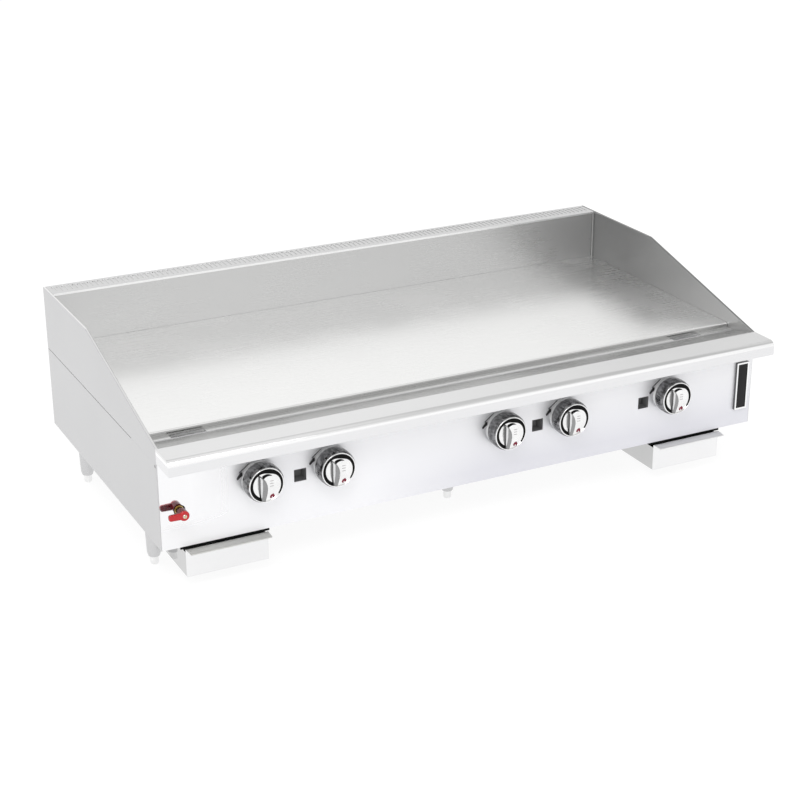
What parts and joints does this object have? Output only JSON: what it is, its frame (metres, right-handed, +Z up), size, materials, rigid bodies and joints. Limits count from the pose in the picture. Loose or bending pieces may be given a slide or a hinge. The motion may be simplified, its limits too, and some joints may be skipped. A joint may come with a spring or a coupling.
{
  "type": "countertop gas griddle",
  "caption": "Wide stainless countertop gas griddle with side and back splashes, slotted flue, front gutter, control knobs, shut-off lever, grease drawers and short legs.",
  "frame": {"origin": "on the worktop, under the middle of the box around the whole part", "axes": "+X to the right along the front, +Y from the front to the back, +Z up"},
  "size_m": [1.524, 0.8846, 0.4555],
  "materials": {
    "satin_steel": "satin",
    "polished_steel": "polished",
    "plate_steel": "ground",
    "dark_steel": "mill",
    "brass": "machined",
    "chrome_trim": "polished",
    "lever_red": "glossy",
    "badge_black": "glossy"
  },
  "bodies": {
    "chassis": {"left_side_panel": "satin_steel", "right_side_panel": "satin_steel", "left_splash": "satin_steel", "right_splash": "satin_steel", "back_splash": "satin_steel", "flue_grille": "polished_steel", "rear_panel": "satin_steel", "base_pan": "satin_steel", "control_panel": "polished_steel", "front_ledge": "polished_steel", "griddle_plate": "plate_steel", "grease_trough": "satin_steel", "left_drain_chute": "satin_steel", "right_drain_chute": "satin_steel", "drawer_rails": "dark_steel", "burner_1": "dark_steel", "burner_2": "dark_steel", "burner_3": "dark_steel", "burner_4": "dark_steel", "burner_5": "dark_steel", "burner_rails": "dark_steel", "heat_shield": "dark_steel", "gas_manifold": "dark_steel", "gas_valve_1": "brass", "gas_valve_2": "brass", "gas_valve_3": "brass", "gas_valve_4": "brass", "gas_valve_5": "brass", "pilot_burners": "brass", "shutoff_valve": "brass", "gas_inlet_pipe": "dark_steel", "knob_bezels": "chrome_trim", "badge_plate": "badge_black", "panel_screws": "satin_steel", "leg_1": "satin_steel", "leg_2": "satin_steel", "leg_3": "satin_steel", "leg_4": "satin_steel", "leg_5": "satin_steel", "leg_6": "satin_steel"},
    "knob_1": {"knob_1": "chrome_trim", "valve_stem_1": "brass"},
    "knob_2": {"knob_2": "chrome_trim", "valve_stem_2": "brass"},
    "knob_3": {"knob_3": "chrome_trim", "valve_stem_3": "brass"},
    "knob_4": {"knob_4": "chrome_trim", "valve_stem_4": "brass"},
    "knob_5": {"knob_5": "chrome_trim", "valve_stem_5": "brass"},
    "shutoff": {"shutoff_lever": "lever_red", "shutoff_stem": "brass"},
    "left_drawer": {"left_grease_drawer": "polished_steel"},
    "right_drawer": {"right_grease_drawer": "polished_steel"},
    "foot_1": {"foot_1": "satin_steel"},
    "foot_2": {"foot_2": "satin_steel"},
    "foot_3": {"foot_3": "satin_steel"},
    "foot_4": {"foot_4": "satin_steel"},
    "foot_5": {"foot_5": "satin_steel"},
    "foot_6": {"foot_6": "satin_steel"}
  },
  "joints": [
    {"name": "knob_1_turn", "type": "hinge", "parent": "chassis", "child": "knob_1", "pos_m": [-0.5365, -0.36575, 0.2255], "axis": [0, -1, 0], "range_deg": [0, 270]},
    {"name": "knob_2_turn", "type": "hinge", "parent": "chassis", "child": "knob_2", "pos_m": [-0.3685, -0.36575, 0.2255], "axis": [0, -1, 0], "range_deg": [0, 270]},
    {"name": "knob_3_turn", "type": "hinge", "parent": "chassis", "child": "knob_3", "pos_m": [0.059, -0.36575, 0.2255], "axis": [0, -1, 0], "range_deg": [0, 270]},
    {"name": "knob_4_turn", "type": "hinge", "parent": "chassis", "child": "knob_4", "pos_m": [0.227, -0.36575, 0.2255], "axis": [0, -1, 0], "range_deg": [0, 270]},
    {"name": "knob_5_turn", "type": "hinge", "parent": "chassis", "child": "knob_5", "pos_m": [0.513, -0.36575, 0.2255], "axis": [0, -1, 0], "range_deg": [0, 270]},
    {"name": "shutoff_turn", "type": "hinge", "parent": "chassis", "child": "shutoff", "pos_m": [-0.717, -0.36575, 0.188], "axis": [0, 1, 0], "range_deg": [0, 90]},
    {"name": "left_drawer_slide", "type": "slide", "parent": "chassis", "child": "left_drawer", "axis": [0, -1, 0], "range_m": [0, 0.34]},
    {"name": "right_drawer_slide", "type": "slide", "parent": "chassis", "child": "right_drawer", "axis": [0, -1, 0], "range_m": [0, 0.34]},
    {"name": "foot_1_adjust", "type": "slide", "parent": "chassis", "child": "foot_1", "axis": [0, 0, -1], "range_m": [0, 0.025]},
    {"name": "foot_2_adjust", "type": "slide", "parent": "chassis", "child": "foot_2", "axis": [0, 0, -1], "range_m": [0, 0.025]},
    {"name": "foot_3_adjust", "type": "slide", "parent": "chassis", "child": "foot_3", "axis": [0, 0, -1], "range_m": [0, 0.025]},
    {"name": "foot_4_adjust", "type": "slide", "parent": "chassis", "child": "foot_4", "axis": [0, 0, -1], "range_m": [0, 0.025]},
    {"name": "foot_5_adjust", "type": "slide", "parent": "chassis", "child": "foot_5", "axis": [0, 0, -1], "range_m": [0, 0.025]},
    {"name": "foot_6_adjust", "type": "slide", "parent": "chassis", "child": "foot_6", "axis": [0, 0, -1], "range_m": [0, 0.025]}
  ]
}
